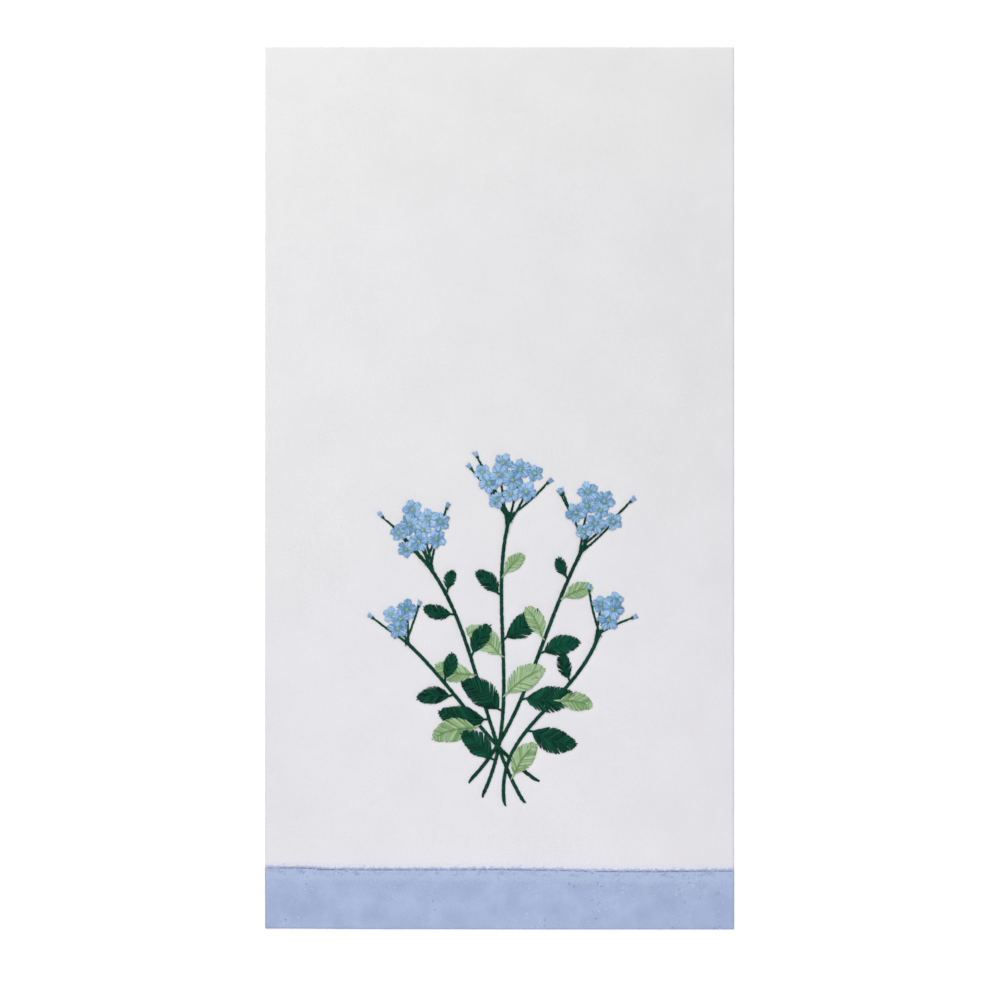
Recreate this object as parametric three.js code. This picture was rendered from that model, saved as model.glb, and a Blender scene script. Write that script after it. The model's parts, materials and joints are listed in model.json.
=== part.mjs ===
// A cotton velour hand towel lying flat, face up: a white body panel with a blue border band sewn
// along its lower end. Millimetres, +Z up, +Y towards the towel's plain end, +X across it.
// The origin is on the surface that the towel lies on, under the middle of its outline.
import * as THREE from "three";

// Driving dimensions
const TOWEL_WIDTH = 406;
const TOWEL_LENGTH = 764;
const BAND_DEPTH = 51.8; // from the hem to the seam, on average
const CLOTH_THICKNESS = 3; // woven ground with its sheared pile
const GROUND_THICKNESS = 0.9; // woven ground alone, flattened in the seam
const SEAM_ALLOWANCE = 9; // body cloth that runs on under the band
const ALLOWANCE_TUCK = 2; // how far the allowance stays in from the side edges
const SEAM_RIDGE = 0.4; // how much the band stands up over the allowance
const STEP_RUN = 0.1; // width of the step from the body's pile down to the allowance
const PIECE_GAP = 0.3; // between the body and the band
const EDGE_ROLL = 2.4; // width over which the pile rolls down to an outer edge
const SEAM_ROLL = 1.8; // the same beside the seam
const EDGE_HEIGHT_SHARE = 0.62; // height of a rolled edge, as a share of the cloth's thickness
const WALL_BULGE = 0.5; // how far an edge bulges out at half its height
const STEEP_SHARE = 1 / 3; // the part of a roll's width where its pile falls steeply
const GRID_STEP = 28; // spacing of the cloth's points away from its edges
const WALL_STEPS = 2; // steps in an edge's height
const SEAM_FADE = 70; // distance from the seam at which its wander has died out

// Places that follow from them
const SIDE_X = TOWEL_WIDTH / 2;
const TOP_Y = TOWEL_LENGTH / 2;
const HEM_Y = -TOWEL_LENGTH / 2;
const SEAM_Y = HEM_Y + BAND_DEPTH;
const BAND_TOP_Y = SEAM_Y - STEP_RUN - PIECE_GAP;
const BODY_REACH = TOP_Y - SEAM_Y;
const BAND_REACH = BAND_TOP_Y - HEM_Y;

// How far the seam and the hem wander from a straight line, from the left edge to the right
const SEAM_WANDER = [
  { across: -203, rise: 2 },
  { across: -172, rise: 1.9 },
  { across: -148, rise: 0.5 },
  { across: -66, rise: 0.3 },
  { across: -8, rise: 0.6 },
  { across: 37, rise: 0.1 },
  { across: 90, rise: -1.1 },
  { across: 120, rise: -1.2 },
  { across: 203, rise: -0.7 },
];
const HEM_WANDER = [
  { across: -203, rise: 0.8 },
  { across: -80, rise: 0.2 },
  { across: 60, rise: 0 },
  { across: 203, rise: 0 },
];

// Soft swells and hollows of the cloth as it lies
const SWELLS = [
  { across: -110, along: 270, reachAcross: 150, reachAlong: 120, rise: 0.5 },
  { across: 95, along: 205, reachAcross: 110, reachAlong: 140, rise: -0.45 },
  { across: -60, along: 20, reachAcross: 130, reachAlong: 150, rise: 0.35 },
  { across: 150, along: -60, reachAcross: 80, reachAlong: 130, rise: -0.4 },
  { across: 20, along: -250, reachAcross: 160, reachAlong: 80, rise: 0.4 },
  { across: -120, along: -355, reachAcross: 70, reachAlong: 30, rise: 0.3 },
  { across: 130, along: -352, reachAcross: 60, reachAlong: 30, rise: 0.25 },
];

// The smooth line through a table of wanders, read at a place across the towel
function wander(rows, across) {
  const next = Math.max(1, rows.findIndex((row) => row.across >= across));
  const before = rows[next - 1];
  const after = rows[next];
  const share = THREE.MathUtils.smoothstep(across, before.across, after.across);
  return THREE.MathUtils.lerp(before.rise, after.rise, share);
}

// The rise of the lying cloth above its even thickness
function swell(across, along) {
  return SWELLS.reduce((sum, s) => {
    const away = Math.hypot((across - s.across) / s.reachAcross, (along - s.along) / s.reachAlong);
    return sum + s.rise * (1 - THREE.MathUtils.smoothstep(away, 0, 1));
  }, 0);
}

// The share of its full height that pile keeps at a distance in from an edge that it rolls down to
function roll(distance, width) {
  const left = 1 - Math.min(Math.max(distance, 0) / width, 1);
  return EDGE_HEIGHT_SHARE + (1 - EDGE_HEIGHT_SHARE) * Math.sqrt(1 - left * left);
}

// Distances from one edge to another: close together in the rolls at both ends, even between them
function stations(length, firstRoll, lastRoll) {
  const inner = length - firstRoll - lastRoll;
  const steps = Math.max(1, Math.round(inner / GRID_STEP));
  const even = Array.from({ length: steps + 1 }, (_, i) => firstRoll + (inner * i) / steps);
  return [0, firstRoll * STEEP_SHARE, ...even, length - lastRoll * STEEP_SHARE, length];
}

const acrossStations = stations(TOWEL_WIDTH, EDGE_ROLL, EDGE_ROLL).map((d) => d - SIDE_X);

// A closed sheet: the points of a box, moved to the rows and columns of the cloth.
// place(across, row) gives each point's { x, y, low, high }, with low and high the two faces there.
function clothSheet(rows, place) {
  const columns = acrossStations.length - 1;
  const lastRow = rows.length - 1;
  const geometry = new THREE.BoxGeometry(1, 1, 1, columns, lastRow, WALL_STEPS);
  geometry.deleteAttribute("normal");
  geometry.deleteAttribute("uv");
  const points = geometry.getAttribute("position");
  for (let i = 0; i < points.count; i++) {
    const column = Math.round((points.getX(i) + 0.5) * columns);
    const row = Math.round((points.getY(i) + 0.5) * lastRow);
    const level = points.getZ(i) + 0.5;
    const { x, y, low, high } = place(acrossStations[column], rows[row]);
    const inset = WALL_BULGE * Math.abs(2 * level - 1);
    const sideward = column === 0 ? inset : column === columns ? -inset : 0;
    const endward = row === 0 ? inset : row === lastRow ? -inset : 0;
    points.setXYZ(i, x + sideward, y + endward, THREE.MathUtils.lerp(low, high, level));
  }
  return geometry;
}

// The body panel, with the allowance that runs on under the band. A row is a distance from the seam.
function bodyPanel() {
  const allowanceRows = [-SEAM_ALLOWANCE, -SEAM_ALLOWANCE / 2, -STEP_RUN];
  const rows = [...allowanceRows, ...stations(BODY_REACH, SEAM_ROLL, EDGE_ROLL)];
  return clothSheet(rows, (across, fromSeam) => {
    const fade = 1 - THREE.MathUtils.smoothstep(fromSeam, 0, SEAM_FADE);
    const y = SEAM_Y + fromSeam + fade * wander(SEAM_WANDER, across);
    if (fromSeam < 0) {
      const tuck = 1 - ALLOWANCE_TUCK / SIDE_X;
      return { x: across * tuck, y, low: 0, high: GROUND_THICKNESS };
    }
    const share = Math.min(
      roll(SIDE_X - Math.abs(across), EDGE_ROLL),
      roll(fromSeam, SEAM_ROLL),
      roll(BODY_REACH - fromSeam, EDGE_ROLL),
    );
    return { x: across, y, low: 0, high: share * (CLOTH_THICKNESS + swell(across, y)) };
  });
}

// The border band, relieved underneath where it lies over the allowance. A row is a distance from the hem.
function borderBand() {
  const allowanceEnd = BAND_REACH - SEAM_ALLOWANCE - PIECE_GAP;
  const shoulder = 2 * GROUND_THICKNESS; // width over which the band's underside comes down to the surface
  const rows = [
    ...stations(allowanceEnd - shoulder, EDGE_ROLL, SEAM_ROLL),
    ...stations(BAND_REACH - allowanceEnd, SEAM_ROLL, SEAM_ROLL).map((d) => allowanceEnd + d),
  ];
  return clothSheet(rows, (across, fromHem) => {
    const toSeam = fromHem / BAND_REACH;
    const bend = THREE.MathUtils.lerp(
      wander(HEM_WANDER, across),
      wander(SEAM_WANDER, across),
      toSeam,
    );
    const y = HEM_Y + fromHem + bend;
    const overAllowance = fromHem >= allowanceEnd;
    const ridge = SEAM_RIDGE * THREE.MathUtils.smoothstep(fromHem, allowanceEnd - shoulder, BAND_REACH);
    const share = Math.min(
      roll(SIDE_X - Math.abs(across), EDGE_ROLL),
      roll(fromHem, EDGE_ROLL),
      roll(BAND_REACH - fromHem, SEAM_ROLL),
    );
    const low = overAllowance ? GROUND_THICKNESS + PIECE_GAP : 0;
    return { x: across, y, low, high: share * (CLOTH_THICKNESS + ridge + swell(across, y)) };
  });
}

function piece(name, geometry, color, roughness) {
  const mesh = new THREE.Mesh(
    geometry,
    new THREE.MeshStandardMaterial({ color, roughness, metalness: 0 }),
  );
  mesh.name = name;
  return mesh;
}

const towel = new THREE.Group();
towel.add(piece("towel_body", bodyPanel(), 0xebebec, 0.95));
towel.add(piece("border_band", borderBand(), 0xa8b7d9, 0.95));

export default towel;
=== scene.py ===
# %% [markdown]
# # A velour hand towel with an embroidered nosegay
# The towel is two pieces of cotton velour: a white body panel, and a blue border band that is sewn along
# its lower end. It lies flat and face up, and the camera looks straight down on it.
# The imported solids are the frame. The cloth is built again here on the same rules, fine enough to carry its
# nap, and then the things that are too small for the solids are sewn on: seam, loose pile and stitches.

# %% Load the frame
import json
import math
import random

import bpy
import numpy as np
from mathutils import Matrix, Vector, kdtree, noise
from mathutils.geometry import interpolate_bezier

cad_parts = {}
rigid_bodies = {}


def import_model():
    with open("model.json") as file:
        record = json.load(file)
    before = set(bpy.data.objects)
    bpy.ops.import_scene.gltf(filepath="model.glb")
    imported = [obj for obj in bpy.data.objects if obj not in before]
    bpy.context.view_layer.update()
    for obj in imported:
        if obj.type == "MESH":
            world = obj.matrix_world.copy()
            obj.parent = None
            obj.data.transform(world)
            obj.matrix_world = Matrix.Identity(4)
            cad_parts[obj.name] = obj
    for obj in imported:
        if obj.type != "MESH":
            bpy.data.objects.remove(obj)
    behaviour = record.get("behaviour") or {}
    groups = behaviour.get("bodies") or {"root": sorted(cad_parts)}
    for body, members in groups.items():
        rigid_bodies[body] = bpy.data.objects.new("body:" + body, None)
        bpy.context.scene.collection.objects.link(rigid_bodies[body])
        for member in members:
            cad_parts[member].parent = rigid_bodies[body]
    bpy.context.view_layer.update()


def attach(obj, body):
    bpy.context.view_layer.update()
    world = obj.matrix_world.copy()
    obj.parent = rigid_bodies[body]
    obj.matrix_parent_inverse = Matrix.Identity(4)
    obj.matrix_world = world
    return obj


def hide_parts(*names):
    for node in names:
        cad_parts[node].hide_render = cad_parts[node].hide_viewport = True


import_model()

MM = 0.001

# %% [markdown]
# ## Helpers
# Colours are written as sRGB hex values, as a paint chart gives them. Shaders work with linear light, so one
# function turns the hex into linear numbers. Node trees are long lists of nodes and links, so two functions
# add a node and fill its inputs, either with a value or with a link. The last two start a material, and put
# a camera, a lamp or a mesh into the scene as an object.

# %% Colours, nodes and objects
def linear(hex_colour):
    """An sRGB hex colour as linear red, green, blue and alpha."""
    channels = [int(hex_colour[i:i + 2], 16) / 255 for i in (0, 2, 4)]
    return [c / 12.92 if c <= 0.04045 else ((c + 0.055) / 1.055) ** 2.4 for c in channels] + [1.0]


def fill(tree, node, inputs):
    """Fills a node's sockets, by name or number, with values or links. A node stands for its first output."""
    for socket, value in inputs.items():
        if isinstance(value, bpy.types.Node):
            value = value.outputs[0]
        if isinstance(value, bpy.types.NodeSocket):
            tree.links.new(value, node.inputs[socket])
        else:
            node.inputs[socket].default_value = value


def add_node(tree, kind, inputs=None, **settings):
    """Adds a node to a tree, sets its properties and fills its inputs."""
    node = tree.nodes.new(kind)
    for setting, value in settings.items():
        setattr(node, setting, value)
    fill(tree, node, inputs or {})
    return node


def new_material(name):
    """A material with the standard shader, and its node tree."""
    material = bpy.data.materials.new(name)
    material.use_nodes = True
    return material, material.node_tree


def add_object(name, data):
    made = bpy.data.objects.new(name, data)
    bpy.context.collection.objects.link(made)
    return made


print("white on the screen is", linear("FFFFFF"))

# %% [markdown]
# ## Camera, floor and light
# The towel is seen face on, so the camera hangs straight above it. A long lens keeps the two ends of the
# towel at the same scale. The view is 1000 pixels wide, and one pixel is 0.865 mm of towel.
# The light is soft: a pale sky gives the even half of it, a large lamp at the upper left makes that corner
# the brightest, and two weak lamps lift the upper right and the lower end.

# %% Camera
FRAME_PIXELS = 1000
MM_PER_PIXEL = 0.865
TOWEL_MIDDLE_PIXEL = (499.6, 488.2)
LENS_MM = 100
SENSOR_MM = 36
CLOTH_THICKNESS = 3 * MM

view_width = FRAME_PIXELS * MM_PER_PIXEL * MM
camera_data = bpy.data.cameras.new("face_on_camera")
camera_data.lens = LENS_MM
camera_data.sensor_width = SENSOR_MM
camera = add_object("face_on_camera", camera_data)
camera.location = (
    (FRAME_PIXELS / 2 - TOWEL_MIDDLE_PIXEL[0]) * MM_PER_PIXEL * MM,
    (TOWEL_MIDDLE_PIXEL[1] - FRAME_PIXELS / 2) * MM_PER_PIXEL * MM,
    CLOTH_THICKNESS + view_width * LENS_MM / SENSOR_MM,
)
bpy.context.scene.camera = camera
print("camera", [round(v, 3) for v in camera.location], "sees", round(view_width, 4), "m")

# %% Floor
FLOOR_HALF = 40.0
FLOOR_GAP = 0.3 * MM
FLOOR_GLOW = 0.32

floor_mesh = bpy.data.meshes.new("floor")
corner_signs = [(-1, -1), (1, -1), (1, 1), (-1, 1)]
floor_corners = [(FLOOR_HALF * x, FLOOR_HALF * y, -FLOOR_GAP) for x, y in corner_signs]
floor_mesh.from_pydata(floor_corners, [], [(0, 1, 2, 3)])
# A sheet of matt paper gives the eye an even white, with no gloss and no edge
paper, paper_tree = new_material("matt white paper sweep")
fill(paper_tree, paper_tree.nodes["Principled BSDF"], {
    "Base Color": linear("F4F4F4"), "Roughness": 1.0, "Specular IOR Level": 0.0,
    "Emission Color": linear("FFFFFF"), "Emission Strength": FLOOR_GLOW,
})
floor_mesh.materials.append(paper)
floor = add_object("floor", floor_mesh)
print("floor", 2 * FLOOR_HALF, "m wide")

# %% Sky and lamps
SKY_STRENGTH = 0.485
LAMPS = [
    {"name": "upper_left_lamp", "at": (-0.90, 0.75, 0.90), "size": 0.7, "watts": 8.3, "tint": "FFFFFF"},
    {"name": "upper_right_lamp", "at": (0.40, 1.00, 0.50), "size": 0.7, "watts": 2.6, "tint": "FFFFFF"},
    {"name": "lower_lamp", "at": (0.06, -0.46, 0.68), "size": 0.7, "watts": 2.45, "tint": "F0EBFF"},
]

scene = bpy.context.scene
scene.view_settings.view_transform = "Standard"
scene.world = bpy.data.worlds.new("pale_sky")
scene.world.use_nodes = True
sky = scene.world.node_tree.nodes["Background"]
sky.inputs["Color"].default_value = linear("FFFFFF")
sky.inputs["Strength"].default_value = SKY_STRENGTH
for row in LAMPS:
    lamp_data = bpy.data.lights.new(row["name"], "AREA")
    lamp_data.size = row["size"]
    lamp_data.energy = row["watts"]
    lamp_data.color = linear(row["tint"])[:3]
    lamp = add_object(row["name"], lamp_data)
    lamp.location = row["at"]
    lamp.rotation_euler = (-lamp.location).to_track_quat("-Z", "Y").to_euler()
print("sky and", len(LAMPS), "lamps")

# %% [markdown]
# ## How the cloth lies
# These rules are the ones that the solids were made by, in metres. The seam isn't quite straight, the cloth
# has soft swells and hollows of half a millimetre, and the pile rolls down at each edge.
# NumPy works them out for a whole grid of points at once.

# %% Rules of the lying cloth
TOWEL_WIDTH = 406 * MM
TOWEL_LENGTH = 764 * MM
BAND_DEPTH = 51.8 * MM
GROUND_THICKNESS = 0.9 * MM
SEAM_ALLOWANCE = 9 * MM
ALLOWANCE_TUCK = 2 * MM
SEAM_RIDGE = 0.4 * MM
STEP_RUN = 0.1 * MM
PIECE_GAP = 0.3 * MM
EDGE_ROLL = 2.4 * MM
SEAM_ROLL = 1.8 * MM
EDGE_HEIGHT_SHARE = 0.62
SEAM_HEIGHT_SHARE = 0.76
WALL_BULGE = 0.5 * MM
SEAM_FADE = 70 * MM

SIDE_X = TOWEL_WIDTH / 2
HEM_Y = -TOWEL_LENGTH / 2
SEAM_Y = HEM_Y + BAND_DEPTH
BODY_REACH = TOWEL_LENGTH - BAND_DEPTH
BAND_REACH = BAND_DEPTH - STEP_RUN - PIECE_GAP

# Millimetres across, and the rise there
SEAM_WANDER = [
    (-203, 2.0), (-172, 1.9), (-148, 0.5), (-66, 0.3), (-8, 0.6),
    (37, 0.1), (90, -1.1), (120, -1.2), (203, -0.7),
]
HEM_WANDER = [(-203, 0.8), (-80, 0.2), (60, 0.0), (203, 0.0)]
# Millimetres across and along, the reach each way, and the rise in the middle
SWELLS = [
    (-110, 270, 150, 120, 0.5),
    (95, 205, 110, 140, -0.45),
    (-60, 20, 130, 150, 0.35),
    (150, -60, 80, 130, -0.4),
    (20, -250, 160, 80, 0.4),
    (-120, -355, 70, 30, 0.3),
    (130, -352, 60, 30, 0.25),
]


def smoothstep(value, low, high):
    share = np.clip((value - low) / (high - low), 0, 1)
    return share * share * (3 - 2 * share)


def wander(rows, across):
    """The smooth line through a table of rises, read at places across the towel."""
    places = np.array([row[0] for row in rows]) * MM
    rises = np.array([row[1] for row in rows]) * MM
    before = np.clip(np.searchsorted(places, across) - 1, 0, len(rows) - 2)
    share = smoothstep(across, places[before], places[before + 1])
    return rises[before] + (rises[before + 1] - rises[before]) * share


def swell(across, along):
    """The rise of the lying cloth above its even thickness."""
    total = np.zeros(np.shape(across))
    for middle_x, middle_y, reach_x, reach_y, rise in SWELLS:
        away = np.hypot((across / MM - middle_x) / reach_x, (along / MM - middle_y) / reach_y)
        total = total + rise * MM * (1 - smoothstep(away, 0, 1))
    return total


def roll(distance, width, edge_share):
    """The share of its height that pile keeps at a distance in from an edge that it rolls down to."""
    left = 1 - np.clip(distance / width, 0, 1)
    return edge_share + (1 - edge_share) * np.sqrt(1 - left * left)


middle_swells = [float(swell(np.array(0.0), np.array(y))) / MM for y in (-0.25, 0.0, 0.25)]
print("the cloth swells by", [round(rise, 2) for rise in middle_swells], "mm")

# %% [markdown]
# ## A closed sheet
# Cloth has a face, a back and a rounded edge, so each piece is a closed sheet: one grid for the face, one for
# the back, and a few rings of points between their rims that bulge a little. A plain grid with the Solidify
# modifier would do for even cloth, but here the back is flat and the face isn't.

# %% Sheet maker
WALL_LEVELS = 4
ROLL_SHARES = np.array([0, 0.33, 0.55, 0.77])
FINE_PATCHES = 2.2
FINE_SHARE = 0.5


def mesh_object(name, points, faces):
    """A smooth mesh object from NumPy arrays of points and of four-cornered faces."""
    mesh = bpy.data.meshes.new(name)
    mesh.from_pydata(points.tolist(), [], faces.tolist())
    mesh.shade_smooth()
    return add_object(name, mesh)


def mark(mesh, label, values):
    """Gives each point of a mesh a named value."""
    attribute = mesh.attributes.new(label, "FLOAT", "POINT")
    attribute.data.foreach_set("value", np.asarray(values, dtype=np.float32))


def closed_sheet(name, columns, rows, place):
    """A closed sheet of cloth. place(across, row) gives x, y, the heights of the back and of the face, and
    marks for the face, which are named values between 0 and 1 that materials and trees can read."""
    across, row = np.meshgrid(columns, rows)
    x, y, low, high, marks = place(across, row)
    inward_x, inward_y = np.zeros_like(x), np.zeros_like(y)
    inward_x[:, 0], inward_x[:, -1] = 1, -1
    inward_y[0, :], inward_y[-1, :] = 1, -1
    number = np.arange(x.size).reshape(x.shape)
    rim = np.concatenate([number[0, :-1], number[:-1, -1], number[-1, :0:-1], number[:0:-1, 0]])

    def level(share):
        inset = WALL_BULGE * (2 * share - 1) ** 2
        points = [x + inward_x * inset, y + inward_y * inset, low + (high - low) * share]
        return np.stack(points, axis=-1).reshape(-1, 3)

    walls = [level(k / WALL_LEVELS)[rim] for k in range(1, WALL_LEVELS)]
    between = [2 * x.size + k * len(rim) + np.arange(len(rim)) for k in range(len(walls))]
    rings = [rim] + between + [rim + x.size]
    corners = [number[:-1, :-1], number[:-1, 1:], number[1:, 1:], number[1:, :-1]]
    quads = np.stack(corners, axis=-1).reshape(-1, 4)
    faces = [quads[:, ::-1], quads + x.size]
    for below, above in zip(rings[:-1], rings[1:]):
        faces.append(np.stack([below, np.roll(below, -1), np.roll(above, -1), above], axis=-1))
    made = mesh_object(name, np.concatenate([level(0.0), level(1.0)] + walls), np.concatenate(faces))
    for label, values in marks.items():
        flat = values.ravel()
        spread = np.concatenate([np.zeros_like(flat), flat] + [flat[rim]] * len(walls))
        mark(made.data, label, spread)
    return made


def stations(length, step, first_roll, last_roll):
    """Distances from one edge to the other, closer together where the pile rolls down."""
    inner = length - first_roll - last_roll
    even = np.linspace(first_roll, length - last_roll, int(inner / step) + 1)
    return np.concatenate([ROLL_SHARES * first_roll, even, length - ROLL_SHARES[::-1] * last_roll])


def nap(across, along, patch, depth):
    """Brushed pile lies in soft, shallow patches, with finer ones on them."""
    heights = []
    for x, y in zip(across.ravel() / patch, along.ravel() / patch):
        fine = noise.noise((FINE_PATCHES * x, FINE_PATCHES * y, 9))
        heights.append(noise.noise((x, y, 0)) + FINE_SHARE * fine)
    return depth * np.array(heights).reshape(across.shape)


print("a sheet's edge has", WALL_LEVELS - 1, "rings of points between its face and its back")

# %% [markdown]
# ## The white body
# The body panel is 406 mm wide. Below the seam its bare ground runs on for 9 mm under the band, which is
# the seam's allowance, and the sewing packs a little pile into the gap. A grid of about 2.7 mm shows its nap
# and stays light. Marks on its points say where the pile parts beside the seam and painted shade darkens it,
# where a painted sheen lies beside the seam, and where the pile is loose along the edges.

# %% Body panel
BODY_STEP = 2.75 * MM
BODY_PATCH = 16 * MM
BODY_NAP = 0.10 * MM
SHEEN_WIDTH = 8 * MM
LOOSE_WIDTH = 1.6 * MM
PARTED_WIDTH = 4.5 * MM
PARTED_PATCH = 4 * MM
PARTED_MEAN = 0.8
PARTED_SWING = 0.9
PARTED_ROWS = np.array([2.6, 3.5, 5.4]) * MM
PACKED_REACH = 0.28 * MM
PACKED_HEIGHT = 2.1 * MM


def parting_and_shade(across, from_seam, width):
    """Where the pile parts beside the seam and painted shade darkens it: 1 in the seam, 0 at an uneven
    distance.
    """
    uneven = [PARTED_MEAN + PARTED_SWING * noise.noise((x / PARTED_PATCH, 3, 0)) for x in across[0]]
    return 1 - smoothstep(from_seam, 0, width * np.array(uneven))


def body_place(across, from_seam):
    fade = 1 - smoothstep(from_seam, 0, SEAM_FADE)
    y = SEAM_Y + from_seam + fade * wander(SEAM_WANDER, across)
    share = np.minimum.reduce([
        roll(SIDE_X - np.abs(across), EDGE_ROLL, EDGE_HEIGHT_SHARE),
        roll(from_seam, SEAM_ROLL, SEAM_HEIGHT_SHARE),
        roll(BODY_REACH - from_seam, EDGE_ROLL, EDGE_HEIGHT_SHARE),
    ])
    face = share * (CLOTH_THICKNESS + swell(across, y) + nap(across, y, BODY_PATCH, BODY_NAP))
    on_face = from_seam >= 0
    x = np.where(on_face, across, across * (1 - ALLOWANCE_TUCK / SIDE_X))
    to_edge = np.minimum(SIDE_X - np.abs(across), BODY_REACH - from_seam)
    marks = {
        # The roots that show where the pile parts, darkened with painted shade
        "roots_and_shade": parting_and_shade(across, from_seam, PARTED_WIDTH),
        # Painted sheen beside the seam
        "painted_sheen": on_face * (1 - smoothstep(from_seam, PARTED_WIDTH / 2, SHEEN_WIDTH)),
        "loose": on_face * (1 - smoothstep(to_edge, LOOSE_WIDTH / 2, LOOSE_WIDTH)),
    }
    under_band = np.where(from_seam < -PACKED_REACH, GROUND_THICKNESS, PACKED_HEIGHT)
    return x, y, np.zeros_like(x), np.where(on_face, face, under_band), marks


body_columns = stations(TOWEL_WIDTH, BODY_STEP, EDGE_ROLL, EDGE_ROLL) - SIDE_X
allowance_rows = np.array([-SEAM_ALLOWANCE, -SEAM_ALLOWANCE / 2, -PACKED_REACH - STEP_RUN / 2, -PACKED_REACH])
face_rows = np.union1d(stations(BODY_REACH, BODY_STEP, SEAM_ROLL, EDGE_ROLL), PARTED_ROWS)
body_rows = np.concatenate([allowance_rows, face_rows])
towel_body = closed_sheet("towel_body_cloth", body_columns, body_rows, body_place)
print("body:", len(towel_body.data.polygons), "faces")

# %% [markdown]
# ## The blue band
# The band is made in the same way, on a finer grid. Its upper edge lies over the allowance, so its back is
# raised there and its face has a low ridge beside the seam.

# %% Border band
BAND_STEP = 1.6 * MM
BAND_PATCH = 11 * MM
BAND_NAP = 0.12 * MM
RUFFLE = 2.0
RIM_SHARE = 0.5
BAND_SHEEN_WIDTH = 14 * MM
BAND_PARTED = PARTED_WIDTH / 4
BAND_SEAM_SHARE = SEAM_HEIGHT_SHARE + 0.08
SHOULDER = 2 * GROUND_THICKNESS
ALLOWANCE_END = BAND_REACH - SEAM_ALLOWANCE - PIECE_GAP


def band_place(across, from_hem):
    to_seam = from_hem / BAND_REACH
    hem = wander(HEM_WANDER, across)
    y = HEM_Y + from_hem + hem + (wander(SEAM_WANDER, across) - hem) * to_seam
    share = np.minimum.reduce([
        roll(SIDE_X - np.abs(across), EDGE_ROLL, EDGE_HEIGHT_SHARE),
        roll(from_hem, EDGE_ROLL, EDGE_HEIGHT_SHARE),
        roll(BAND_REACH - from_hem, SEAM_ROLL, BAND_SEAM_SHARE),
    ])
    ridge = SEAM_RIDGE * smoothstep(from_hem, ALLOWANCE_END - SHOULDER, BAND_REACH)
    ruffled = BAND_NAP * (1 + RUFFLE * smoothstep(across, 0, SIDE_X))
    face = share * (CLOTH_THICKNESS + ridge + swell(across, y) + nap(across, y, BAND_PATCH, ruffled))
    back = np.where(from_hem >= ALLOWANCE_END, GROUND_THICKNESS + PIECE_GAP, 0.0)
    from_seam = BAND_REACH - from_hem
    to_edge = np.minimum(SIDE_X - np.abs(across), from_hem)
    # The band's cut edges take the seam's darker colour too
    rim = RIM_SHARE * (1 - smoothstep(to_edge, 0, LOOSE_WIDTH))
    marks = {
        "roots_and_shade": np.maximum(parting_and_shade(across, from_seam, BAND_PARTED), rim),
        # Painted sheen below the seam
        "painted_sheen": 1 - smoothstep(from_seam, PARTED_WIDTH, BAND_SHEEN_WIDTH),
        "loose": 1 - smoothstep(to_edge, LOOSE_WIDTH / 2, LOOSE_WIDTH),
    }
    return across, y, back, face, marks


band_columns = stations(TOWEL_WIDTH, BAND_STEP, EDGE_ROLL, EDGE_ROLL) - SIDE_X
band_rows = np.concatenate([
    stations(ALLOWANCE_END - SHOULDER, BAND_STEP, EDGE_ROLL, SEAM_ROLL),
    ALLOWANCE_END + stations(BAND_REACH - ALLOWANCE_END, BAND_STEP, SEAM_ROLL, SEAM_ROLL),
])
border_band = closed_sheet("border_band_cloth", band_columns, band_rows, band_place)
print("band:", len(border_band.data.polygons), "faces")

# %% [markdown]
# ## Velour
# Velour is terry whose loops were sheared off. The cut ends stand close together and lie this way and that
# after brushing, so the eye sees a matt, powdery face with soft patches a few centimetres wide, and a grain
# just under a millimetre whose low places are painted darker: painted shade between the tufts. Beside the
# seam a painted sheen, for the pile seen from the side, tints the colour. Where the pile parts at the seam
# the colour darkens to bluish roots between ragged locks: the roots, with painted shade in the groove.

# %% Velour materials
# Tips of pile are a few hundredths of a millimetre wide, too fine to show: they are drawn at TIP_MM, and the
# tufts that they make up at TUFT_MM
TIP_MM = 0.35
TUFT_MM = 0.8
FRAY_MM = 0.9
BRUSHED_TURN = 0.5
BRUSHED_SCALE = (1.0, 0.6, 1.0)
CROWN_REACH = 0.75
TIP_SHARE = 0.65
PILE_SHARE = 0.5
SHADES = (0.36, 0.64)
LOCKS = (0.35, 0.65)
COVER_MM = 1.5
COVER_SHARE = 0.75
SHEEN_SHARE = 0.6
SHADED_ROOTS_SHARE = 0.85


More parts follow.
